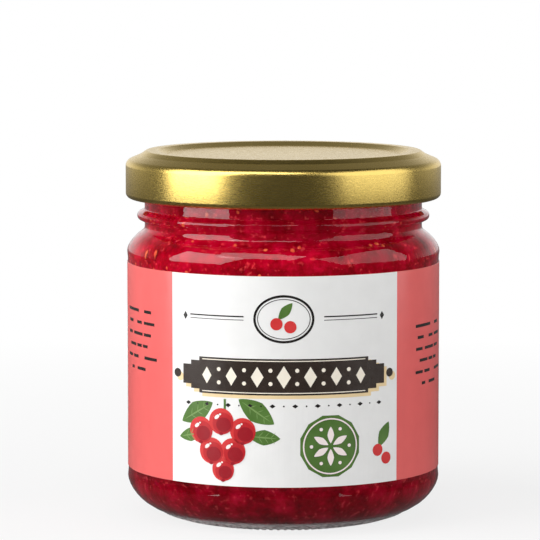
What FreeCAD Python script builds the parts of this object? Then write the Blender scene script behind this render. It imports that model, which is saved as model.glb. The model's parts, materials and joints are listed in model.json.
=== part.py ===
# Jam jar: a round glass jar with a pressed twist-off lid, filled with jam and wrapped in a paper label.
# Four pieces, each in its own STEP file: glass_jar, lid, jam and label.
# Units are millimetres. The jar stands on z = 0 with its axis on Z, and its front faces -Y.
import FreeCAD, Part
import math
import os

from FreeCAD import Vector

# ---- driving sizes ----

# glass body
body_radius = 32.74
straight_height = 44.5  # upright wall between the heel round and the shoulder
wall = 2.3
base_thickness = 4.2  # glass under the jam, above the standing plane
heel_radius = 8.3  # round from the side wall into the foot
heel_turn = 53.0  # degrees that the heel round turns before the flatter foot round takes over
foot_radius = 16.2
standing_width = 1.8  # flat ring that the jar rests on
punt_depth = 1.3  # push-up of the underside inside the standing ring
punt_slope = 6.0  # radial run of the push-up's side
inner_heel_radius = 7.5

# shoulder, waist and bead under the lid
shoulder_radius = 6.5
shoulder_turn = 55.0  # degrees from upright
shoulder_step = 3.69  # how much narrower the neck is than the body, on the radius
neck_wall = 2.55
waist_fillet = 1.2
waist_height = 0.95  # straight stretch between the shoulder and the bead
bead_reach = 1.55
bead_height = 2.65  # at the neck
bead_crest = 1.1
bead_round = 0.7
bead_fillet = 0.35
rim_round = 0.9

# lid, pressed from sheet
lid_height = 9.9
lid_sheet = 0.3
lid_gap = 2.35  # clear height between the bead's top and the lid's lower edge
curl_radius = 1.1  # rolled lower edge
curl_clearance = 0.3  # between the rolled edge and the thread ridges
corner_round = 1.5  # between the skirt and the ledge
ledge_inner_drop = 0.84  # from the crest down to the ledge's inner edge
ledge_outer_drop = 2.16  # the ledge slopes down outwards to this
crest_outer_reach = 0.35  # how far the crest's outer corner lies inside the neck's outside
crest_width = 2.3
crest_slope_run = 1.2  # radial run of the crest's outer side
crest_round = 0.55
panel_drop = 0.85  # from the crest down to the centre panel
panel_slope_run = 1.8

# thread ridges on the neck and the lid's lugs under them
thread_count = 4
thread_reach = 1.45
thread_root_height = 1.7
thread_crest_height = 0.9
thread_turn = 75.0  # degrees that each ridge covers
thread_slope = 4.5  # degrees
thread_low_angle = 0.0  # where the first ridge's low end lies, from +X
lug_turn = 14.0
lug_reach = 2.1  # in from the curl's middle
lug_height = 1.4
lug_shut_turn = 40.0  # degrees that a lug has run in past a ridge's low end on the shut jar
lug_clearance = 0.1  # left between that lug and its ridge

# contents and label
jam_headspace = 4.1  # from the rim's top to the jam
label_foot_gap = 0.8  # straight wall below the label
label_head_gap = 0.74  # and above it
label_recess = 0.12  # how far the label panel is set into the wall
label_margin = 0.6  # panel beyond the label's edges, above and below
label_paper = 0.12
label_gap = 7.0  # bare glass between the label's ends, at the back

# ---- sizes worked out from them ----

heel_cos = math.cos(math.radians(heel_turn))
standing_outer = body_radius - heel_radius * (1.0 - heel_cos) - foot_radius * heel_cos
standing_inner = standing_outer - standing_width
foot_run = foot_radius * math.tan(math.radians((90.0 - heel_turn) / 2.0))
heel_run = heel_radius * math.tan(math.radians(heel_turn / 2.0))
heel_corner = (foot_run + heel_run) * heel_cos
heel_top = heel_corner + heel_run
inner_radius = body_radius - wall
neck_radius = body_radius - shoulder_step
mouth_radius = neck_radius - neck_wall
shoulder_sin = math.sin(math.radians(shoulder_turn))
shoulder_tan = math.tan(math.radians(shoulder_turn))
shoulder_start = heel_top + straight_height
shoulder_corner = shoulder_start + shoulder_radius * math.tan(math.radians(shoulder_turn / 2.0))
neck_corner = shoulder_corner + shoulder_step / shoulder_tan
bead_low = neck_corner + waist_fillet * math.tan(math.radians(shoulder_turn / 2.0)) + waist_height
bead_high = bead_low + bead_height
lid_low = bead_high + lid_gap
lid_top = lid_low + lid_height
lid_radius = neck_radius + thread_reach + curl_clearance + 2.0 * curl_radius
rim_top = lid_top - lid_sheet
jam_top = rim_top - jam_headspace
panel_radius = body_radius - label_recess
label_low = heel_top + label_foot_gap
label_high = shoulder_start - label_head_gap
lug_low = lid_low + lid_sheet / 2.0
lug_high = lug_low + lug_height
shut_climb = math.tan(math.radians(thread_slope)) * math.sin(math.radians(lug_shut_turn - thread_turn / 2.0))
thread_middle = lug_high + lug_clearance + thread_root_height / 2.0 - neck_radius * shut_climb


# ---- outlines in the radius-height plane ----

def tangent_points(before, corner, after, radius):
    """Where a round of this radius meets the two sides of a corner, and its middle point."""
    back = (before - corner).normalize()
    ahead = (after - corner).normalize()
    half_angle = back.getAngle(ahead) / 2.0
    run = radius / math.tan(half_angle)
    centre = corner + (back + ahead).normalize() * (radius / math.sin(half_angle))
    middle = centre + (corner - centre).normalize() * radius
    return corner + back * run, middle, corner + ahead * run


def outline_edges(corners):
    """Edges through (radius, height) corners. A third number rounds that corner off."""
    points = [Vector(corner[0], 0, corner[1]) for corner in corners]
    edges = []
    here = points[0]
    for index in range(1, len(points)):
        corner = points[index]
        radius = corners[index][2] if len(corners[index]) > 2 else 0.0
        if radius and index + 1 < len(points):
            start, middle, end = tangent_points(points[index - 1], corner, points[index + 1], radius)
        else:
            start = end = corner
        if here.distanceToPoint(start) > 1e-6:
            edges.append(Part.makeLine(here, start))
        if radius and index + 1 < len(points):
            edges.append(Part.Arc(start, middle, end).toShape())
        here = end
    return edges


def revolved(corners, turn=360.0):
    """Solid of revolution about Z from a closed outline, which starts and ends at the same corner."""
    face = Part.Face(Part.Wire(outline_edges(corners)))
    return face.revolve(Vector(0, 0, 0), Vector(0, 0, 1), turn)


def sector(corners, middle_angle, turn):
    """Part of a revolution, turned so that its middle lies at this angle from +X."""
    piece = revolved(corners, turn)
    piece.rotate(Vector(0, 0, 0), Vector(0, 0, 1), middle_angle - turn / 2.0)
    return piece


# ---- glass ----

def cavity_corners():
    """Inner wall of the jar from the middle of its floor up to the mouth."""
    inner_neck_corner = neck_corner + neck_wall / shoulder_tan - wall / shoulder_sin
    inner_shoulder_corner = inner_neck_corner - (inner_radius - mouth_radius) / shoulder_tan
    return [
        (0, base_thickness),
        (inner_radius, base_thickness, inner_heel_radius),
        (inner_radius, inner_shoulder_corner, shoulder_radius - wall),
        (mouth_radius, inner_neck_corner, waist_fillet + wall),
    ]


def outer_corners():
    """Outside of the jar from the middle of its underside up to the neck."""
    recess_low = label_low - label_margin
    recess_high = label_high + label_margin
    bead_side = (bead_height - bead_crest) / 2.0
    return [
        (0, punt_depth),
        (standing_inner - punt_slope, punt_depth, foot_radius),
        (standing_inner, 0),
        (standing_outer + foot_run, 0, foot_radius),
        (body_radius, heel_corner, heel_radius),
        (body_radius, recess_low - label_recess),
        (panel_radius, recess_low),
        (panel_radius, recess_high - label_recess),
        (body_radius, recess_high),
        (body_radius, shoulder_corner, shoulder_radius),
        (neck_radius, neck_corner, waist_fillet),
        (neck_radius, bead_low, bead_fillet),
        (neck_radius + bead_reach, bead_low + bead_side, bead_round),
        (neck_radius + bead_reach, bead_high - bead_side, bead_round),
        (neck_radius, bead_high, bead_fillet),
    ]


def thread_ridge(low_angle):
    """One sloping ridge: a short piece of a ring whose plane leans against the neck's axis."""
    root = neck_radius - rim_round  # sunk into the neck's wall
    section = [
        (root, -thread_root_height / 2.0),
        (neck_radius + thread_reach, -thread_crest_height / 2.0, 0.3),
        (neck_radius + thread_reach, thread_crest_height / 2.0, 0.3),
        (root, thread_root_height / 2.0),
        (root, -thread_root_height / 2.0),
    ]
    ridge = sector(section, 0.0, thread_turn)
    ridge.rotate(Vector(0, 0, 0), Vector(1, 0, 0), thread_slope)
    ridge.rotate(Vector(0, 0, 0), Vector(0, 0, 1), low_angle + thread_turn / 2.0)
    ridge.translate(Vector(0, 0, thread_middle))
    return ridge


def glass_jar():
    """The moulded glass: body, shoulder, bead, neck and thread ridges in one piece."""
    rim = [
        (neck_radius, rim_top, rim_round),
        (mouth_radius, rim_top, rim_round),
    ]
    outline = outer_corners() + rim + cavity_corners()[::-1] + [outer_corners()[0]]
    jar = revolved(outline)
    step = 360.0 / thread_count
    ridges = [thread_ridge(thread_low_angle + index * step) for index in range(thread_count)]
    return jar.fuse(ridges).removeSplitter()


# ---- lid ----

def lid_skin():
    """Outside of the sheet from the middle of the panel down to the rolled edge, as one wire."""
    crest_outer = neck_radius - crest_outer_reach
    crest_inner = crest_outer - crest_width
    curl_middle = lid_low + curl_radius
    edges = outline_edges([
        (0, lid_top - panel_drop),
        (crest_inner - panel_slope_run, lid_top - panel_drop, crest_round),
        (crest_inner, lid_top, crest_round + lid_sheet),
        (crest_outer, lid_top, crest_round + lid_sheet),
        (crest_outer + crest_slope_run, lid_top - ledge_inner_drop, crest_round),
        (lid_radius, lid_top - ledge_outer_drop, corner_round),
        (lid_radius, curl_middle),
    ])
    centre = Vector(lid_radius - curl_radius, 0, curl_middle)
    start = Vector(lid_radius, 0, curl_middle)
    middle = centre + Vector(-math.sin(math.radians(45)), 0, -math.cos(math.radians(45))) * curl_radius
    end = centre + Vector(-math.cos(math.radians(60)), 0, math.sin(math.radians(60))) * curl_radius
    edges.append(Part.Arc(start, middle, end).toShape())
    return Part.Wire(edges)


def lug(angle):
    """One tongue of the rolled edge that reaches in under a thread ridge."""
    tip = lid_radius - curl_radius - lug_reach
    root = lid_radius - 2.0 * curl_radius + lid_sheet / 2.0  # within the rolled sheet
    section = [
        (root, lug_low),
        (tip, lug_low + lid_sheet),
        (tip, lug_high),
        (root, lug_high),
        (root, lug_low),
    ]
    return sector(section, angle, lug_turn)


def lid():
    """Pressed lid: sunk panel, raised crest over the rim, ledge, skirt, rolled edge and lugs."""
    section = lid_skin().makeOffset2D(-lid_sheet, 0, True, True)
    shell = section.revolve(Vector(0, 0, 0), Vector(0, 0, 1), 360)
    step = 360.0 / thread_count
    first = thread_low_angle + lug_shut_turn + lug_turn / 2.0
    lugs = [lug(first + index * step) for index in range(thread_count)]
    return shell.fuse(lugs)


# ---- jam and label ----

def jam():
    """Everything inside the glass up to the fill level."""
    corners = cavity_corners() + [(mouth_radius, jam_top), (0, jam_top), (0, base_thickness)]
    return revolved(corners)


def label():
    """Paper band around the label panel, open by a narrow gap at the back."""
    gap_turn = math.degrees(label_gap / panel_radius)
    outer = panel_radius + label_paper
    section = [
        (panel_radius, label_low),
        (outer, label_low),
        (outer, label_high),
        (panel_radius, label_high),
        (panel_radius, label_low),
    ]
    return sector(section, -90.0, 360.0 - gap_turn)


def main():
    os.makedirs("parts", exist_ok=True)
    pieces = {"glass_jar": glass_jar(), "lid": lid(), "jam": jam(), "label": label()}
    for name, shape in pieces.items():
        shape.exportStep("parts/" + name + ".step")
        box = shape.BoundBox
        facts = (name, len(shape.Solids), shape.isValid(), shape.Volume / 1000.0, box.ZMin, box.ZMax)
        print("%s: %d solid, valid %s, %.2f cm3, z %.2f to %.2f" % facts)


main()
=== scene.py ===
import json
import math
import random

import bmesh
import bpy
from mathutils import Matrix, Vector

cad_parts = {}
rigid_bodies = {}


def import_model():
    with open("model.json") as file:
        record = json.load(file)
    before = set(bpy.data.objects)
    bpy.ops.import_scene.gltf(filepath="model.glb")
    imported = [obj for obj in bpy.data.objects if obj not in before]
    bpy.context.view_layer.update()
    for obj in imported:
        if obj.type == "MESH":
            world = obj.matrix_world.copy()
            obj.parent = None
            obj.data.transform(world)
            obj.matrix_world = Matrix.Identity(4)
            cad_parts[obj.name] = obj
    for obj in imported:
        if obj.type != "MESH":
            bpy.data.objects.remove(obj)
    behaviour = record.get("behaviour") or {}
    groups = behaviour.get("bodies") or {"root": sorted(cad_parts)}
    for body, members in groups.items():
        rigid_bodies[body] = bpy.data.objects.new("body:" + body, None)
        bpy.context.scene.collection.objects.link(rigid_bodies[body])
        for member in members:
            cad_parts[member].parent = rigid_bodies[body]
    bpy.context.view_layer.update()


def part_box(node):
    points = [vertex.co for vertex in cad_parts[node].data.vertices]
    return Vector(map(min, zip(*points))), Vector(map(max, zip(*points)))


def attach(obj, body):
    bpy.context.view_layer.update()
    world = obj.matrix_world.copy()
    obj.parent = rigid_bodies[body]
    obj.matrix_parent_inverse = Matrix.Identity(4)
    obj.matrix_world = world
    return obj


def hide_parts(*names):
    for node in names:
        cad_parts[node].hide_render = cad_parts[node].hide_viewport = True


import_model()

mm = 0.001
glassLow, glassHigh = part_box("glass_jar")
lidLow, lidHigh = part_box("lid")
jamLow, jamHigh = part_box("jam")
labelLow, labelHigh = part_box("label")


# shared mesh steps

def roundedWire(bm, corners):
    # corners are (radius, height) in mm, with a third number where the corner is rounded
    points = [Vector((c[0] * mm, 0, c[1] * mm)) for c in corners]
    verts = [bm.verts.new(p) for p in points]
    for a, b in zip(verts, verts[1:]):
        bm.edges.new((a, b))
    for i in range(1, len(corners) - 1):
        if len(corners[i]) > 2:
            turn = (points[i] - points[i - 1]).angle(points[i + 1] - points[i])
            steps = max(3, int(math.degrees(turn) / 9) + 1)
            bmesh.ops.bevel(bm, geom=[verts[i]], offset=corners[i][2] * mm * math.tan(turn / 2), offset_type="OFFSET",
                            segments=steps, profile=0.5, affect="VERTICES", clamp_overlap=False, material=-1)


def spinWire(bm, steps, angle=math.tau):
    full = abs(angle - math.tau) < 1e-6
    bmesh.ops.spin(bm, geom=bm.verts[:] + bm.edges[:], cent=(0, 0, 0), axis=(0, 0, 1), dvec=(0, 0, 0),
                   angle=angle, steps=steps, use_merge=full, use_duplicate=False)
    bmesh.ops.remove_doubles(bm, verts=bm.verts[:], dist=1e-6)
    bmesh.ops.dissolve_degenerate(bm, dist=1e-7, edges=bm.edges[:])


def closeEnds(bm):
    rim = [e for e in bm.edges if e.is_boundary]
    if rim:
        bmesh.ops.holes_fill(bm, edges=rim, sides=0)


def turnBy(bm, degrees, axis):
    bmesh.ops.rotate(bm, verts=bm.verts[:], cent=(0, 0, 0), matrix=Matrix.Rotation(math.radians(degrees), 3, axis))


def closedSector(wire, steps, degrees):
    # a closed loop of corners swept part of the way round
    bm = bmesh.new()
    roundedWire(bm, wire)
    bm.edges.new([v for v in bm.verts if len(v.link_edges) == 1])
    spinWire(bm, steps, math.radians(degrees))
    closeEnds(bm)
    bmesh.ops.recalc_face_normals(bm, faces=bm.faces[:])
    return bm


def addTo(bm, other):
    spare = bpy.data.meshes.new("spare")
    other.to_mesh(spare)
    other.free()
    bm.from_mesh(spare)
    bpy.data.meshes.remove(spare)


def pieceFrom(bm, name, material, smooth=True):
    bmesh.ops.recalc_face_normals(bm, faces=bm.faces[:])
    mesh = bpy.data.meshes.new(name)
    bm.to_mesh(mesh)
    bm.free()
    piece = bpy.data.objects.new(name, mesh)
    bpy.context.scene.collection.objects.link(piece)
    mesh.materials.append(material)
    for face in mesh.polygons:
        face.use_smooth = smooth
    return piece


def placePiece(piece, node=None):
    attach(piece, "root")
    if node:
        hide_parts(node)


# shared material steps

def newMaterial(name):
    material = bpy.data.materials.new(name)
    material.use_nodes = True
    tree = material.node_tree
    tree.nodes.clear()
    return material, tree


def addNode(tree, kind, links=None, **settings):
    node = tree.nodes.new(kind)
    for key, value in settings.items():
        setattr(node, key, value)
    for key, value in (links or {}).items():
        socket = node.inputs[key]
        if isinstance(value, bpy.types.NodeSocket):
            tree.links.new(value, socket)
        else:
            socket.default_value = value
    return node


def objectPoint(tree, scale=(1, 1, 1)):
    coord = addNode(tree, "ShaderNodeTexCoord")
    return addNode(tree, "ShaderNodeMapping", {"Vector": coord.outputs["Object"], "Scale": scale}).outputs[0]


def noiseOf(tree, point, scale, detail=3.0, roughness=0.5):
    links = {"Vector": point, "Scale": scale, "Detail": detail, "Roughness": roughness}
    return addNode(tree, "ShaderNodeTexNoise", links).outputs[0]


def rampOf(tree, factor, stops):
    ramp = addNode(tree, "ShaderNodeValToRGB", {0: factor})
    marks = ramp.color_ramp.elements
    while len(marks) < len(stops):
        marks.new(0.5)
    for mark, (place, colour) in zip(marks, stops):
        mark.position = place
        mark.color = (*colour, 1)
    return ramp.outputs[0]


def rangeOf(tree, value, low, high, outLow, outHigh):
    links = {0: value, 1: low, 2: high, 3: outLow, 4: outHigh}
    return addNode(tree, "ShaderNodeMapRange", links).outputs[0]


def bumpOf(tree, height, strength, distance, before=None):
    links = {"Height": height, "Strength": strength, "Distance": distance}
    if before:
        links["Normal"] = before
    return addNode(tree, "ShaderNodeBump", links).outputs[0]


def finishMaterial(tree, shader):
    addNode(tree, "ShaderNodeOutputMaterial", {"Surface": shader})


# glass

glassSizes = {
    "bodyRadius": 32.74, "heelRound": 8.3, "footRound": 16.2, "standOuter": 19.69, "standInner": 17.89,
    "puntDepth": 1.3, "puntRun": 6.0, "labelRecess": 0.12, "labelMargin": 0.6,
    "shoulderStart": 54.39, "shoulderRound": 6.5, "neckRadius": 29.05, "waistRound": 1.2,
    "beadReach": 1.55, "beadHeight": 2.65, "beadCrest": 1.1, "rimRound": 0.9,
    "wall": 2.3, "neckWall": 2.55, "floorHeight": 4.2, "innerHeelRound": 7.5,
    "heelTurn": 53.0, "footTurn": 37.0, "shoulderTurn": 55.0, "standRound": 0.8,
    "recessEdge": 0.3, "recessFootFade": 1.6, "recessHeadFade": 1.5, "recessRound": 2.0,
    "waistHeight": 0.95, "beadRound": 0.7, "beadFillet": 0.35, "steps": 192,
    "knurlFrom": 21.6, "knurlTo": 25.2, "knurlTop": 1.3, "knurlEdge": 0.12, "knurlSize": 0.16,
    "threadReach": 1.45, "threadRoot": 0.6, "threadHeight": 1.7, "threadCrest": 0.9, "threadRound": 0.3,
    "threadTurn": 75.0, "threadSlope": 4.5, "threadDrop": 7.19, "threadCount": 4, "threadSteps": 30,
}


def heelPoints():
    g = glassSizes
    footRun = g["footRound"] * math.tan(math.radians(g["footTurn"] / 2))
    heelRun = g["heelRound"] * math.tan(math.radians(g["heelTurn"] / 2))
    corner = (footRun + heelRun) * math.cos(math.radians(g["heelTurn"]))
    return footRun, corner


def shoulderHeights():
    g = glassSizes
    turn = math.radians(g["shoulderTurn"])
    corner = g["shoulderStart"] + g["shoulderRound"] * math.tan(turn / 2)
    neckCorner = corner + (g["bodyRadius"] - g["neckRadius"]) / math.tan(turn)
    return corner, neckCorner


def cavityCorners(grow=0.0):
    # inner wall from the floor's middle to the mouth, moved out into the glass by grow
    g = glassSizes
    slope, rise = math.tan(math.radians(g["shoulderTurn"])), math.sin(math.radians(g["shoulderTurn"]))
    innerRadius, mouthRadius = g["bodyRadius"] - g["wall"] + grow, g["neckRadius"] - g["neckWall"] + grow
    neckCorner = shoulderHeights()[1] + (g["neckWall"] - grow) / slope - (g["wall"] - grow) / rise
    bodyCorner = neckCorner - (innerRadius - mouthRadius) / slope
    return [
        (0, g["floorHeight"] - grow),
        (innerRadius, g["floorHeight"] - grow, g["innerHeelRound"] + grow),
        (innerRadius, bodyCorner, g["shoulderRound"] - g["wall"] + grow),
        (mouthRadius, neckCorner, g["waistRound"] + g["wall"] - grow),
    ]


def glassBody():
    g = glassSizes
    body, neck = g["bodyRadius"], g["neckRadius"]
    footRun, heelCorner = heelPoints()
    shoulderCorner, neckCorner = shoulderHeights()
    low, high = labelLow[2] / mm - g["labelMargin"], labelHigh[2] / mm + g["labelMargin"]
    panel = body - g["labelRecess"]
    beadLow = neckCorner + g["waistRound"] * math.tan(math.radians(g["shoulderTurn"] / 2)) + g["waistHeight"]
    beadSide = (g["beadHeight"] - g["beadCrest"]) / 2
    rimTop = glassHigh[2] / mm
    outside = [
        (0, g["puntDepth"]),
        (g["standInner"] - g["puntRun"], g["puntDepth"], g["footRound"]),
        (g["standInner"], 0, g["standRound"]),
        (g["standOuter"] + footRun, 0, g["footRound"]),
        (body, heelCorner, g["heelRound"]),
        (body, low - g["recessFootFade"], g["recessRound"]),
        (panel, low - g["recessEdge"], g["recessRound"]),
        (panel, high + g["recessEdge"], g["recessRound"]),
        (body, high + g["recessHeadFade"], g["recessRound"]),
        (body, shoulderCorner, g["shoulderRound"]),
        (neck, neckCorner, g["waistRound"]),
        (neck, beadLow, g["beadFillet"]),
        (neck + g["beadReach"], beadLow + beadSide, g["beadRound"]),
        (neck + g["beadReach"], beadLow + g["beadHeight"] - beadSide, g["beadRound"]),
        (neck, beadLow + g["beadHeight"], g["beadFillet"]),
        (neck, rimTop, g["rimRound"]),
        (neck - g["neckWall"], rimTop, g["rimRound"]),
    ]
    bm = bmesh.new()
    roundedWire(bm, outside + cavityCorners()[::-1])
    spinWire(bm, g["steps"])
    bmesh.ops.recalc_face_normals(bm, faces=bm.faces[:])
    addKnurls(bm)
    addThreads(bm, rimTop)
    piece = pieceFrom(bm, "glassBody", clearGlass())
    placePiece(piece, "glass_jar")
    print("glass body: %d faces" % len(piece.data.polygons))


def addKnurls(bm):
    # short raised bars around the foot, on every other column of faces
    g = glassSizes
    pick = []
    for face in bm.faces:
        c = face.calc_center_median()
        inBand = g["knurlFrom"] < math.hypot(c.x, c.y) / mm < g["knurlTo"]
        underneath = c.z < g["knurlTop"] * mm and face.normal.z < -0.5
        column = int(math.degrees(math.atan2(c.y, c.x)) % 360 / (360 / g["steps"]))
        if inBand and underneath and column % 2 == 0:
            pick.append(face)
    bmesh.ops.inset_region(bm, faces=pick, thickness=g["knurlEdge"] * mm, depth=g["knurlSize"] * mm,
                           use_even_offset=True)


def addThreads(bm, rimTop):
    # sloping ridges under the lid, sunk into the neck
    g = glassSizes
    root, crest = g["neckRadius"] - g["threadRoot"], g["neckRadius"] + g["threadReach"]
    wire = [(root, -g["threadHeight"] / 2), (crest, -g["threadCrest"] / 2, g["threadRound"]),
            (crest, g["threadCrest"] / 2, g["threadRound"]), (root, g["threadHeight"] / 2)]
    half = g["threadTurn"] / 2
    for index in range(g["threadCount"]):
        ridge = closedSector(wire, g["threadSteps"], g["threadTurn"])
        turnBy(ridge, -half, "Z")
        turnBy(ridge, g["threadSlope"], "X")
        turnBy(ridge, half + index * 360 / g["threadCount"], "Z")
        bmesh.ops.translate(ridge, verts=ridge.verts[:], vec=(0, 0, (rimTop - g["threadDrop"]) * mm))
        addTo(bm, ridge)


def clearGlass():
    material, tree = newMaterial("clearGlass")
    point = objectPoint(tree)
    wave = noiseOf(tree, point, 55.0, 1.5)
    ripple = noiseOf(tree, objectPoint(tree, (1, 1, 0.35)), 160.0, 2.0)
    normal = bumpOf(tree, ripple, 0.12, 0.0003, bumpOf(tree, wave, 0.25, 0.0008))
    foot = addNode(tree, "ShaderNodeSeparateXYZ", {0: point}).outputs["Z"]
    speck = noiseOf(tree, point, 900.0, 3.0, 0.7)
    grey = rampOf(tree, speck, [(0.42, (0.10, 0.09, 0.09)), (0.58, (0.85, 0.80, 0.80))])
    worn = rangeOf(tree, foot, 0.0014, 0.0026, 0.72, 0.0)
    # the foot is scuffed grey, and the rest is clear
    colour = addNode(tree, "ShaderNodeMix", {0: worn, 6: (0.97, 0.985, 0.98, 1), 7: grey},
                     data_type="RGBA").outputs[2]
    glass = addNode(tree, "ShaderNodeBsdfPrincipled", {
        "Base Color": colour, "Transmission Weight": rangeOf(tree, worn, 0.0, 1.0, 1.0, 0.0), "IOR": 1.43,
        "Roughness": rangeOf(tree, foot, 0.0008, 0.0022, 0.34, 0.0), "Normal": normal}).outputs[0]
    # shadows and bounced light pass straight through
    clear = addNode(tree, "ShaderNodeBsdfTransparent", {"Color": (0.95, 0.965, 0.96, 1)}).outputs[0]
    path = addNode(tree, "ShaderNodeLightPath")
    either = addNode(tree, "ShaderNodeMath", {0: path.outputs["Is Shadow Ray"], 1: path.outputs["Is Diffuse Ray"]},
                     operation="MAXIMUM").outputs[0]
    finishMaterial(tree, addNode(tree, "ShaderNodeMixShader", {0: either, 1: glass, 2: clear}).outputs[0])
    return material


# jam

jamSizes = {
    "intoWall": 0.08, "topRound": 0.8, "topDish": 0.3, "steps": 128,
    "seedCount": 620, "seedLength": 1.35, "seedWidth": 0.5, "seedDepth": 0.72, "seedTip": 0.35, "tipStart": 0.75,
    "seedsFrom": 13.0, "seedsBelowTop": 1.5, "seedSunk": 0.35, "seedShown": 0.22, "smallest": 0.75, "seed": 7,
}


def jamBody():
    s = jamSizes
    top = jamHigh[2] / mm
    corners = cavityCorners(s["intoWall"])
    mouth = corners[-1][0]
    bm = bmesh.new()
    roundedWire(bm, corners + [(mouth, top, s["topRound"]), (0, top - s["topDish"])])
    spinWire(bm, s["steps"])
    piece = pieceFrom(bm, "jamBody", jamRed())
    placePiece(piece, "jam")
    print("jam: %d faces" % len(piece.data.polygons))


def jamRed():
    material, tree = newMaterial("jamRed")
    point = objectPoint(tree)
    blotch = noiseOf(tree, point, 230.0, 8.0, 0.74)
    colour = rampOf(tree, blotch, [(0.34, (0.16, 0.0003, 0.003)), (0.48, (0.34, 0.0006, 0.010)),
                                   (0.58, (0.50, 0.0015, 0.022)), (0.72, (0.74, 0.006, 0.045))])
    fleck = rampOf(tree, noiseOf(tree, point, 900.0, 2.0, 0.5), [(0.60, (0, 0, 0)), (0.72, (0.30, 0.035, 0.035))])
    colour = addNode(tree, "ShaderNodeMix", {0: 1.0, 6: colour, 7: fleck},
                     data_type="RGBA", blend_type="ADD").outputs[2]
    height = addNode(tree, "ShaderNodeSeparateXYZ", {0: point}).outputs["Z"]
    # painted shade: the jam is made darker towards the thick glass of the foot
    shade = rampOf(tree, rangeOf(tree, height, 0.003, 0.016, 0.0, 1.0),
                   [(0.0, (0.42, 0.42, 0.42)), (1.0, (1, 1, 1))])
    colour = addNode(tree, "ShaderNodeMix", {0: 1.0, 6: colour, 7: shade},
                     data_type="RGBA", blend_type="MULTIPLY").outputs[2]
    pulp = noiseOf(tree, point, 420.0, 3.0)
    shader = addNode(tree, "ShaderNodeBsdfPrincipled", {
        "Base Color": colour, "Roughness": 0.45, "Specular IOR Level": 0.0, "Subsurface Weight": 0.35,
        "Subsurface Radius": (1.0, 0.12, 0.08), "Subsurface Scale": 0.003,
        "Normal": bumpOf(tree, pulp, 0.5, 0.0006)}).outputs[0]
    finishMaterial(tree, shader)
    return material


def wallPlace(height, corners):
    # radius of the cavity at this height, in mm, straight between its corners
    for a, b in zip(corners, corners[1:]):
        if min(a[1], b[1]) <= height <= max(a[1], b[1]) and abs(a[1] - b[1]) > 1e-6:
            share = (height - a[1]) / (b[1] - a[1])
            return a[0] + (b[0] - a[0]) * share
    return corners[-1][0]


def jamSeeds():
    s = jamSizes
    rng = random.Random(s["seed"])
    corners = cavityCorners(s["intoWall"])
    pip = bmesh.new()
    bmesh.ops.create_uvsphere(pip, u_segments=10, v_segments=7, radius=0.5 * s["seedLength"] * mm)
    bmesh.ops.scale(pip, verts=pip.verts[:], vec=(s["seedWidth"], s["seedDepth"], 1.0))
    for v in pip.verts:  # one end drawn to a point
        v.co.y *= 1 - s["seedTip"] * max(0.0, v.co.z / (s["tipStart"] * mm))
    bmesh.ops.recalc_face_normals(pip, faces=pip.faces[:])
    bm = bmesh.new()
    for _ in range(s["seedCount"]):
        height = rng.uniform(s["seedsFrom"], jamHigh[2] / mm - s["seedsBelowTop"])
        reach = wallPlace(height, corners) - s["seedSunk"] + rng.uniform(0, s["seedShown"])
        spare = bpy.data.meshes.new("pip")
        pip.to_mesh(spare)
        lean = Matrix.Rotation(rng.uniform(0, math.tau), 4, "X")
        move = Matrix.Translation((reach * mm, 0, height * mm))
        turn = Matrix.Rotation(rng.uniform(0, math.tau), 4, "Z")
        spare.transform(turn @ move @ lean @ Matrix.Scale(rng.uniform(s["smallest"], 1.0), 4))
        bm.from_mesh(spare)
        bpy.data.meshes.remove(spare)
    pip.free()
    piece = pieceFrom(bm, "jamSeeds", seedGold())
    placePiece(piece)
    print("seeds: %d" % s["seedCount"])


def seedGold():
    material, tree = newMaterial("seedGold")
    tone = noiseOf(tree, objectPoint(tree), 300.0, 2.0)
    colour = rampOf(tree, tone, [(0.35, (0.62, 0.035, 0.02)), (0.65, (0.85, 0.14, 0.05))])
    shader = addNode(tree, "ShaderNodeBsdfPrincipled", {
        "Base Color": colour, "Roughness": 0.5, "Specular IOR Level": 0.1}).outputs[0]
    finishMaterial(tree, shader)
    return material


# lid

lidSizes = {
    "radius": 33.0, "curlRound": 1.1, "sheet": 0.3, "crestOuter": 28.7, "crestWidth": 2.3, "crestRun": 1.2,
    "crestRound": 0.7, "ledgeInnerDrop": 0.84, "ledgeOuterDrop": 2.16, "cornerRound": 1.5,
    "panelDrop": 0.85, "panelRun": 1.8, "ledgeRound": 0.5, "hemRun": 1.0, "hemGap": 0.1, "steps": 256,
    "lugCount": 4, "lugTurn": 14.0, "lugStart": 40.0, "lugReach": 0.95, "lugRoot": 0.2, "lugFoot": 0.15,
    "lugLip": 0.5, "lugTop": 1.5, "lugRound": 0.2, "lugSteps": 10,
}


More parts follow.
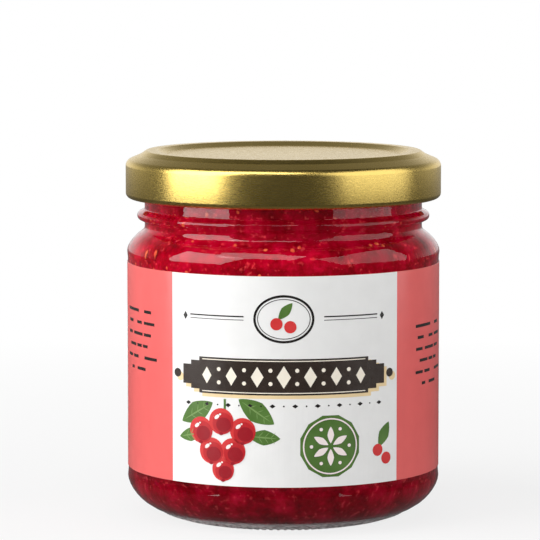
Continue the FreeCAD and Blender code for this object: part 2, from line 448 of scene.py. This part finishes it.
def lidBody():
    s = lidSizes
    top, low = lidHigh[2] / mm, lidLow[2] / mm
    crestInner = s["crestOuter"] - s["crestWidth"]
    curl = s["curlRound"]
    inner = s["radius"] - 2 * curl
    outside = [
        (0, top - s["panelDrop"]),
        (crestInner - s["panelRun"], top - s["panelDrop"], s["crestRound"]),
        (crestInner, top, s["crestRound"]),
        (s["crestOuter"], top, s["crestRound"]),
        (s["crestOuter"] + s["crestRun"], top - s["ledgeInnerDrop"], s["ledgeRound"]),
        (s["radius"], top - s["ledgeOuterDrop"], s["cornerRound"]),
        (s["radius"], low, curl),
        (inner, low, curl),
        (inner, low + 2 * curl - s["hemGap"], s["ledgeRound"]),
        (inner + s["hemRun"], low + 2 * curl - s["hemGap"]),
    ]
    bm = bmesh.new()
    roundedWire(bm, outside)
    spinWire(bm, s["steps"])
    bmesh.ops.recalc_face_normals(bm, faces=bm.faces[:])
    upper = max(bm.faces, key=lambda f: f.calc_center_median().z)
    if upper.normal.z < 0:  # the wall has to grow inwards
        bmesh.ops.reverse_faces(bm, faces=bm.faces[:])
    bmesh.ops.solidify(bm, geom=bm.faces[:], thickness=s["sheet"] * mm)
    addLugs(bm, low, inner)
    piece = pieceFrom(bm, "lidBody", goldLacquer())
    placePiece(piece, "lid")
    print("lid: %d faces" % len(piece.data.polygons))


def addLugs(bm, low, inner):
    s = lidSizes
    wire = [(inner + s["lugRoot"], low + s["lugFoot"]), (inner - s["lugReach"], low + s["lugLip"], s["lugRound"]),
            (inner - s["lugReach"], low + s["lugTop"], s["lugRound"]), (inner + s["lugRoot"], low + s["lugTop"])]
    for index in range(s["lugCount"]):
        lug = closedSector(wire, s["lugSteps"], s["lugTurn"])
        turnBy(lug, s["lugStart"] + index * 360 / s["lugCount"], "Z")
        addTo(bm, lug)


def goldLacquer():
    material, tree = newMaterial("goldLacquer")
    flat = objectPoint(tree, (1, 1, 26))
    brush = noiseOf(tree, flat, 900.0, 2.0, 0.6)
    grain = noiseOf(tree, objectPoint(tree), 2600.0, 2.0, 0.6)
    cloud = noiseOf(tree, objectPoint(tree), 60.0, 3.0)
    colour = rampOf(tree, cloud, [(0.3, (0.72, 0.515, 0.125)), (0.7, (0.80, 0.585, 0.165))])
    rough = rangeOf(tree, brush, 0.3, 0.7, 0.20, 0.33)
    normal = bumpOf(tree, grain, 0.09, 0.0001, bumpOf(tree, brush, 0.08, 0.0001))
    shader = addNode(tree, "ShaderNodeBsdfPrincipled", {
        "Base Color": colour, "Metallic": 1.0, "Roughness": rough, "Normal": normal,
        "Specular Tint": (1.0, 0.96, 0.84, 1),
        "Coat Weight": 0.30, "Coat Roughness": 0.24, "Coat IOR": 1.5}).outputs[0]
    finishMaterial(tree, shader)
    return material


# label

labelSizes = {
    "panel": 32.62, "paper": 0.12, "gap": 7.0, "steps": 220,
    "whiteFrom": -25.0, "whiteTo": 25.6,  # white front panel, in mm of arc from the middle of the front
    "lift": 0.012, "ink": 0.012, "firstLift": 0.004, "strip": 1.2, "edgeRound": 0.03, "trim": 0.06,
}
labelFace = labelSizes["panel"] + labelSizes["paper"]
labelFoot, labelTop = labelLow[2] / mm, labelHigh[2] / mm


def labelBand():
    s = labelSizes
    gap = math.degrees(s["gap"] / s["panel"])
    wire = [(s["panel"], labelFoot), (labelFace, labelFoot, s["edgeRound"]),
            (labelFace, labelTop, s["edgeRound"]), (s["panel"], labelTop)]
    bm = closedSector(wire, s["steps"], 360 - gap)
    turnBy(bm, 90 + gap / 2, "Z")
    piece = pieceFrom(bm, "labelBand", paperCoral())
    placePiece(piece, "label")
    print("label: %d faces" % len(piece.data.polygons))


def inkMaterial(name, colour, other=None):
    material, tree = newMaterial(name)
    point = objectPoint(tree)
    fibre = noiseOf(tree, point, 900.0, 3.0)
    tone = noiseOf(tree, point, 240.0, 2.0)
    paint = rampOf(tree, tone, [(0.3, colour), (0.7, other or tuple(min(1.0, c * 1.06) for c in colour))])
    shader = addNode(tree, "ShaderNodeBsdfPrincipled", {
        "Base Color": paint, "Roughness": rangeOf(tree, fibre, 0.3, 0.7, 0.20, 0.27),
        "Specular IOR Level": 0.85, "Normal": bumpOf(tree, fibre, 0.05, 0.00005)}).outputs[0]
    finishMaterial(tree, shader)
    return material


def paperCoral():
    return inkMaterial("paperCoral", (0.74, 0.122, 0.117), (0.77, 0.130, 0.124))


def bendOnLabel(bm, lift):
    # a flat print in the x-z plane is cut into narrow strips, thickened and wrapped around the label
    xs = [v.co.x for v in bm.verts]
    strip = labelSizes["strip"] * mm
    place = math.ceil(min(xs) / strip) * strip
    while place < max(xs):
        bmesh.ops.bisect_plane(bm, geom=bm.verts[:] + bm.edges[:] + bm.faces[:], dist=1e-8,
                               plane_co=(place, 0, 0), plane_no=(1, 0, 0))
        place += strip
    bmesh.ops.triangulate(bm, faces=[f for f in bm.faces if len(f.verts) > 4])
    for face in bm.faces:
        if face.normal.y > 0:
            face.normal_flip()
    bmesh.ops.solidify(bm, geom=bm.faces[:], thickness=labelSizes["ink"] * mm)
    back = max(v.co.y for v in bm.verts)
    for v in bm.verts:
        reach = (labelFace + lift) * mm + (back - v.co.y)
        turn = v.co.x / (labelFace * mm)
        v.co = Vector((reach * math.sin(turn), -reach * math.cos(turn), v.co.z))


def addDisc(bm, x, z, rx, rz, turn=0.0, segments=28):
    made = bmesh.ops.create_circle(bm, cap_ends=True, segments=segments, radius=1.0)
    bmesh.ops.scale(bm, verts=made["verts"], vec=(rx * mm, rz * mm, 1))
    layFlat(bm, made["verts"], x, z, turn)


def layFlat(bm, verts, x, z, turn=0.0):
    bmesh.ops.rotate(bm, verts=verts, cent=(0, 0, 0), matrix=Matrix.Rotation(math.radians(90), 3, "X"))
    bmesh.ops.rotate(bm, verts=verts, cent=(0, 0, 0), matrix=Matrix.Rotation(-math.radians(turn), 3, "Y"))
    bmesh.ops.translate(bm, verts=verts, vec=(x * mm, 0, z * mm))


def addPlate(bm, x, z, width, height, cornerRound=0.0):
    before = set(bm.verts)
    made = bmesh.ops.create_grid(bm, x_segments=1, y_segments=1, size=0.5)
    bmesh.ops.scale(bm, verts=made["verts"], vec=(width * mm, height * mm, 1))
    if cornerRound:
        bmesh.ops.bevel(bm, geom=made["verts"], offset=cornerRound * mm, offset_type="OFFSET", segments=6,
                        profile=0.5, affect="VERTICES", clamp_overlap=False, material=-1)
    layFlat(bm, [v for v in bm.verts if v not in before], x, z)


def addRing(bm, x, z, rx, rz, width, segments=48):
    loops = []
    for grow in (0.0, -width):
        made = bmesh.ops.create_circle(bm, cap_ends=False, segments=segments, radius=1.0)
        bmesh.ops.scale(bm, verts=made["verts"], vec=((rx + grow) * mm, (rz + grow) * mm, 1))
        loops.append(made["verts"])
    edges = [e for e in bm.edges if all(v in loops[0] or v in loops[1] for v in e.verts)]
    bmesh.ops.bridge_loops(bm, edges=edges)
    layFlat(bm, loops[0] + loops[1], x, z)


def addLeaf(bm, x, z, length, width, turn):
    made = bmesh.ops.create_circle(bm, cap_ends=True, segments=26, radius=1.0)
    for v in made["verts"]:  # both ends drawn in to a tip
        v.co.y *= (1 - abs(v.co.x)) ** 0.35 if abs(v.co.x) < 1 else 0
    bmesh.ops.scale(bm, verts=made["verts"], vec=(length / 2 * mm, width / 2 * mm, 1))
    layFlat(bm, made["verts"], x, z, turn)


def printPiece(name, material, lift, draw):
    bm = bmesh.new()
    draw(bm)
    bendOnLabel(bm, lift)
    piece = pieceFrom(bm, name, material, smooth=False)
    placePiece(piece)


# places are mm of arc from the middle of the front, and mm of height
printSizes = {
    "plaqueHeight": 33.2, "plaqueWidth": 44.0, "plaqueDepth": 7.4, "plaqueStep": 2.0, "plaqueMark": 5.4,
    "ruleX": 14.2, "ruleHeight": 45.4, "ruleLength": 12.0, "ruleEnd": 21.4,
    "badgeHeight": 45.0, "badgeReach": 6.2, "badgeRise": 4.9, "badgeLine": 0.5,
    "rowHeight": 27.3, "rowPitch": 2.3, "rowHalf": 9,
    "fruitX": -12.0, "fruitZ": 20.3, "medalX": 9.6, "medalZ": 19.0, "medalRadius": 6.5, "petals": 6,
    "dashX": 38.2, "dashPitch": 2.4, "dashLine": 0.62, "dashLeftTop": 44.6, "dashRightTop": 41.8,
    "boxX": 66.0, "boxWidth": 36.0, "boxRound": 1.6, "boxLineTop": 40.6, "boxLinePitch": 2.5, "boxLine": 0.45,
}
# berries as (x, z, radius), leaves as (x, z, length, width, vein, turn), both from the fruit's middle
berrySpots = [
    (-5.6, 1.6, 2.7), (-1.0, 3.6, 2.7), (3.6, 1.8, 2.7), (-3.2, -2.5, 2.7), (1.5, -2.4, 2.7), (-0.6, -6.2, 2.4),
]
leafSpots = [
    (-6.6, 5.2, 8.6, 4.4, 7.0, 30), (6.4, 5.8, 8.8, 4.4, 7.2, -34),
    (8.0, 0.6, 6.6, 3.2, 5.2, -4), (-8.2, 0.4, 5.6, 2.8, 4.4, 12),
]
cherrySpots = [(-1.5, 44.0), (1.3, 43.4), (20.4, 17.5), (22.6, 15.7)]
dashWidths = [13.0, 11.2, 12.4, 9.6, 12.8, 7.4]
boxLineWidths = [28.0, 30.0, 24.0, 30.0, 27.0, 29.0, 22.0, 12.0]


def whitePanel(bm):
    s = labelSizes
    middle, height = (s["whiteTo"] + s["whiteFrom"]) / 2, labelTop - labelFoot - s["trim"]
    addPlate(bm, middle, (labelTop + labelFoot) / 2, s["whiteTo"] - s["whiteFrom"], height)


def drawPlaque(bm, shiftX=0.0, shiftZ=0.0):
    # a stepped bar, its narrower ends butted on
    p = printSizes
    x, z, width, depth, step = shiftX, p["plaqueHeight"] + shiftZ, p["plaqueWidth"], p["plaqueDepth"], p["plaqueStep"]
    addPlate(bm, x, z, width - 4 * step, depth)
    for side in (-1, 1):
        addPlate(bm, x + side * (width - 3 * step) / 2, z, step, depth - 1.6)
        addPlate(bm, x + side * (width - step) / 2, z, step, depth - 3.4)
        addDisc(bm, x + side * (width / 2 + 1.5), z, 0.9, 0.9)


def drawPaleMarks(bm):
    # diamonds that shrink towards the ends, with dots between them and a fine line above and below
    p = printSizes
    middle, pitch = p["plaqueHeight"], p["plaqueMark"]
    for index in range(-3, 4):
        size = 2.3 - 0.2 * abs(index)
        addDisc(bm, index * pitch, middle, size * 0.62, size, segments=4)
        for side in (-1, 1):
            if index < 3:
                addDisc(bm, (index + 0.5) * pitch, middle + side * 1.35, 0.42, 0.42, segments=16)
    for side in (-1, 1):
        addPlate(bm, 0, middle + side * (p["plaqueDepth"] / 2 - 0.45), p["plaqueWidth"] - 9.4, 0.18)


def drawDarkLines(bm):
    p = printSizes
    for side in (-1, 1):
        addPlate(bm, side * p["ruleX"], p["ruleHeight"], p["ruleLength"], 0.28)
        addPlate(bm, side * p["ruleX"], p["ruleHeight"] - 0.7, p["ruleLength"], 0.14)
        addDisc(bm, side * p["ruleEnd"], p["ruleHeight"] - 0.3, 0.55, 0.85, segments=4)
    addRing(bm, 0, p["badgeHeight"], p["badgeReach"], p["badgeRise"], p["badgeLine"])
    addRing(bm, 0, p["badgeHeight"], p["badgeReach"] - 0.8, p["badgeRise"] - 0.8, 0.16)
    for index in range(-p["rowHalf"], p["rowHalf"] + 1):  # small diamonds and dots under the bar
        reach, rise = (0.62, 0.42) if index % 2 else (0.2, 0.2)
        addDisc(bm, index * p["rowPitch"], p["rowHeight"], reach, rise, segments=4)
    for side, top in ((-1, p["dashLeftTop"]), (1, p["dashRightTop"])):
        for row, width in enumerate(dashWidths):
            starts = (0.0, 0.46, 0.76) if row % 2 else (0.0, 0.30, 0.74)
            for part, start in enumerate(starts):
                share = (0.42, 0.26, 0.24)[(part + row) % 3]
                x = side * p["dashX"] + (start + share / 2 - 0.5) * width
                addPlate(bm, x, top - row * p["dashPitch"], share * width * 0.9, p["dashLine"])


def drawGreen(bm):
    p = printSizes
    x, z = p["fruitX"], p["fruitZ"]
    for dx, dz, length, width, _, turn in leafSpots:
        addLeaf(bm, x + dx, z + dz, length, width, turn)
    addPlate(bm, x - 0.2, z + 6.9, 0.5, 2.6)
    addDisc(bm, p["medalX"], p["medalZ"], p["medalRadius"], p["medalRadius"], segments=12, turn=15)
    addLeaf(bm, 0.3, 46.6, 4.4, 2.0, 50)
    addLeaf(bm, 22.0, 20.6, 5.6, 2.7, 62)


def drawVeins(bm):
    p = printSizes
    for dx, dz, _, _, length, turn in leafSpots:
        x, z, a = p["fruitX"] + dx, p["fruitZ"] + dz, math.radians(turn)
        addLeaf(bm, x, z, length, 0.34, turn)
        for share in (-0.22, 0.02, 0.26):
            for side in (-52, 52):
                b = math.radians(turn + side)
                addLeaf(bm, x + share * length * math.cos(a) + 0.75 * math.cos(b),
                        z + share * length * math.sin(a) + 0.75 * math.sin(b), 1.5, 0.16, turn + side)


def eachBerry():
    for dx, dz, size in berrySpots:
        yield printSizes["fruitX"] + dx, printSizes["fruitZ"] + dz, size


def drawRed(bm):
    for x, z, size in eachBerry():
        addDisc(bm, x, z, size, size)
    for x, z in cherrySpots:
        addDisc(bm, x, z, 1.25, 1.25)


def drawRedShade(bm):
    for x, z, size in eachBerry():
        addDisc(bm, x + 0.128 * size, z - 0.136 * size, size * 0.84, size * 0.82)


def drawRedDeep(bm):
    for x, z, size in eachBerry():
        addDisc(bm, x + 0.2 * size, z - 0.24 * size, size * 0.60, size * 0.55)
        addDisc(bm, x, z - size * 0.93, 0.5, 0.36, segments=6)


def drawHighlights(bm):
    p = printSizes
    for x, z, _ in eachBerry():
        addDisc(bm, x - 0.9, z + 0.9, 0.62, 0.36, turn=40)
        addDisc(bm, x - 0.2, z + 1.45, 0.22, 0.18)
    addRing(bm, p["medalX"], p["medalZ"], p["medalRadius"] - 0.75, p["medalRadius"] - 0.75, 0.28)
    for index in range(p["petals"]):
        turn = index * 360 / p["petals"]
        a, b = math.radians(turn + 180 / p["petals"]), math.radians(turn)
        addLeaf(bm, p["medalX"] + 2.3 * math.cos(a), p["medalZ"] + 2.3 * math.sin(a), 3.4, 1.4, math.degrees(a))
        addDisc(bm, p["medalX"] + 4.0 * math.cos(b), p["medalZ"] + 4.0 * math.sin(b), 0.36, 0.36, segments=12)


def drawSidePanels(bm):
    # plain white boxes on the coral sides, towards the back
    p = printSizes
    for side, z, height in ((-1, 32.0, 26.0), (1, 32.6, 22.0)):
        addPlate(bm, side * p["boxX"], z, p["boxWidth"], height, p["boxRound"])


def drawSideLines(bm):
    p = printSizes
    longest = max(boxLineWidths)
    for side in (-1, 1):
        for row, width in enumerate(boxLineWidths):
            x = side * p["boxX"] - (longest - width) / 2
            addPlate(bm, x, p["boxLineTop"] - row * p["boxLinePitch"], width, p["boxLine"])


def labelPrint():
    first, step = labelSizes["firstLift"], labelSizes["lift"] * 2
    dark = inkMaterial("inkDark", (0.020, 0.017, 0.016))
    white = inkMaterial("inkWhite", (0.80, 0.80, 0.79), (0.83, 0.83, 0.82))
    gold = inkMaterial("inkGold", (0.78, 0.60, 0.34))
    brown = inkMaterial("inkBrown", (0.030, 0.019, 0.014), (0.036, 0.024, 0.018))
    pale = inkMaterial("inkPale", (0.86, 0.80, 0.68))
    green = inkMaterial("inkGreen", (0.070, 0.155, 0.028), (0.095, 0.20, 0.04))
    vein = inkMaterial("inkVein", (0.18, 0.30, 0.09))
    red = inkMaterial("inkRed", (0.60, 0.030, 0.030), (0.66, 0.04, 0.04))
    shade = inkMaterial("inkShade", (0.46, 0.010, 0.016), (0.52, 0.016, 0.022))
    deep = inkMaterial("inkDeep", (0.30, 0.004, 0.012))
    light = inkMaterial("inkLight", (0.88, 0.78, 0.76))
    # later inks lie on earlier ones
    printPiece("printWhite", white, first, whitePanel)
    printPiece("printSidePanels", white, first, drawSidePanels)
    printPiece("printSideLines", dark, step, drawSideLines)
    printPiece("printGold", gold, step, lambda bm: drawPlaque(bm, 0.7, -0.7))
    printPiece("printBrown", brown, step * 2, drawPlaque)
    printPiece("printPale", pale, step * 3, drawPaleMarks)
    printPiece("printLines", dark, step, drawDarkLines)
    printPiece("printGreen", green, step, drawGreen)
    printPiece("printVeins", vein, step * 2, drawVeins)
    printPiece("printRed", red, step * 2, drawRed)
    printPiece("printShade", shade, step * 3, drawRedShade)
    printPiece("printDeep", deep, step * 4, drawRedDeep)
    printPiece("printLight", light, step * 5, drawHighlights)
    print("label print drawn")


# studio

studio = {
    "floorSize": 14.0, "floorTone": 0.66, "floorGlow": 0.80,
    "leftLamp": 5.7, "rightLamp": 2.9, "topLamp": 1.7,  # watts
    "fillLeft": 0.22, "fillRight": 0.12,
    "lens": 239.6, "cameraPlace": (-0.00279, -0.75075, 0.1303), "cameraTilt": 84.011,
}


def buildFloor():
    bm = bmesh.new()
    bmesh.ops.create_grid(bm, x_segments=1, y_segments=1, size=studio["floorSize"] / 2)
    material, tree = newMaterial("paleFloor")
    point = addNode(tree, "ShaderNodeTexCoord").outputs["Object"]
    far = addNode(tree, "ShaderNodeVectorMath", {0: point}, operation="LENGTH").outputs["Value"]
    glow = rangeOf(tree, far, 0.06, 0.30, studio["floorGlow"], 1.0)
    # painted reflection: seen in reflections the floor glows at set levels instead of being lit, dark in front, bright
    # far behind, and a little brighter near the jar
    depth = addNode(tree, "ShaderNodeSeparateXYZ", {0: point}).outputs["Y"]
    greys = [(place, (level, level, level)) for place, level in ((0.0, 0.06), (0.16, 0.05), (0.3, 0.16), (1.0, 0.95))]
    reflectedFloorGlow = rampOf(tree, rangeOf(tree, depth, -0.6, 3.0, 0.0, 1.0), greys)
    nearFloorGlow = rangeOf(tree, far, 0.10, 0.22, 0.12, 0.0)
    reflectedFloorGlow = addNode(tree, "ShaderNodeMath", {0: reflectedFloorGlow, 1: nearFloorGlow}, operation="MAXIMUM").outputs[0]
    tone = studio["floorTone"]
    matt = addNode(tree, "ShaderNodeBsdfDiffuse", {"Color": (tone, tone, tone, 1)}).outputs[0]
    white = addNode(tree, "ShaderNodeEmission", {"Color": (1, 1, 1, 1), "Strength": 1.0}).outputs[0]
    mirror = addNode(tree, "ShaderNodeEmission", {"Color": reflectedFloorGlow, "Strength": 1.0}).outputs[0]
    path = addNode(tree, "ShaderNodeLightPath")
    seen = addNode(tree, "ShaderNodeMath", {0: path.outputs["Is Camera Ray"], 1: glow},
                   operation="MULTIPLY").outputs[0]
    lit = addNode(tree, "ShaderNodeMixShader", {0: seen, 1: matt, 2: white}).outputs[0]
    both = addNode(tree, "ShaderNodeMixShader", {0: path.outputs["Is Glossy Ray"], 1: lit, 2: mirror}).outputs[0]
    finishMaterial(tree, both)
    floor = pieceFrom(bm, "floor", material, smooth=False)


def addLamp(name, azimuth, elevation, distance, width, height, watts):
    # azimuth is counted from the camera's side, positive to the right
    a, e = math.radians(azimuth), math.radians(elevation)
    aim = Vector((0, 0, 0.045))
    place = aim + distance * Vector((math.sin(a) * math.cos(e), -math.cos(a) * math.cos(e), math.sin(e)))
    lamp = bpy.data.lights.new(name, "AREA")
    lamp.shape = "RECTANGLE"
    lamp.size, lamp.size_y = width, height
    lamp.energy = watts
    holder = bpy.data.objects.new(name, lamp)
    holder.location = place
    holder.rotation_euler = (aim - place).to_track_quat("-Z", "Y").to_euler()
    bpy.context.scene.collection.objects.link(holder)


def buildLamps():
    addLamp("leftSoftbox", -67, 24, 0.66, 0.58, 0.70, studio["leftLamp"])
    addLamp("rightSoftbox", 70, 24, 0.66, 0.82, 0.74, studio["rightLamp"])
    addLamp("topSoftbox", -25, 58, 0.70, 0.62, 0.26, studio["topLamp"])


def buildWorld():
    world = bpy.data.worlds.new("studioWorld")
    bpy.context.scene.world = world
    world.use_nodes = True
    tree = world.node_tree
    tree.nodes.clear()
    way = addNode(tree, "ShaderNodeTexCoord").outputs["Generated"]
    parts = addNode(tree, "ShaderNodeSeparateXYZ", {0: way})
    behind = rangeOf(tree, parts.outputs["Y"], 0.30, 0.88, 0.07, 1.0)
    low = rangeOf(tree, parts.outputs["Z"], 0.18, 0.44, 1.0, 0.28)
    mirror = addNode(tree, "ShaderNodeMath", {0: behind, 1: low}, operation="MULTIPLY").outputs[0]
    side = rangeOf(tree, parts.outputs["X"], -1.0, 1.0, studio["fillLeft"], studio["fillRight"])
    path = addNode(tree, "ShaderNodeLightPath")
    shiny = addNode(tree, "ShaderNodeMix", {0: path.outputs["Is Glossy Ray"], 2: side, 3: mirror},
                    data_type="FLOAT").outputs[0]
    plain = addNode(tree, "ShaderNodeMath", {0: path.outputs["Is Camera Ray"], 1: path.outputs["Is Transmission Ray"]},
                    operation="MAXIMUM").outputs[0]
    level = addNode(tree, "ShaderNodeMix", {0: plain, 2: shiny, 3: 1.0}, data_type="FLOAT").outputs[0]
    sky = addNode(tree, "ShaderNodeBackground", {"Color": (1, 1, 1, 1), "Strength": level}).outputs[0]
    addNode(tree, "ShaderNodeOutputWorld", {"Surface": sky})


def buildCamera():
    camera = bpy.data.cameras.new("camera")
    camera.lens = studio["lens"]
    camera.sensor_width = 36
    camera.clip_start = 0.05
    holder = bpy.data.objects.new("camera", camera)
    holder.location = studio["cameraPlace"]
    holder.rotation_euler = (math.radians(studio["cameraTilt"]), 0, 0)
    bpy.context.scene.collection.objects.link(holder)
    bpy.context.scene.camera = holder


glassBody()
jamBody()
jamSeeds()
lidBody()
labelBand()
labelPrint()
buildFloor()
buildLamps()
buildWorld()
buildCamera()
bpy.context.scene.view_settings.view_transform = "Standard"
print("studio built")
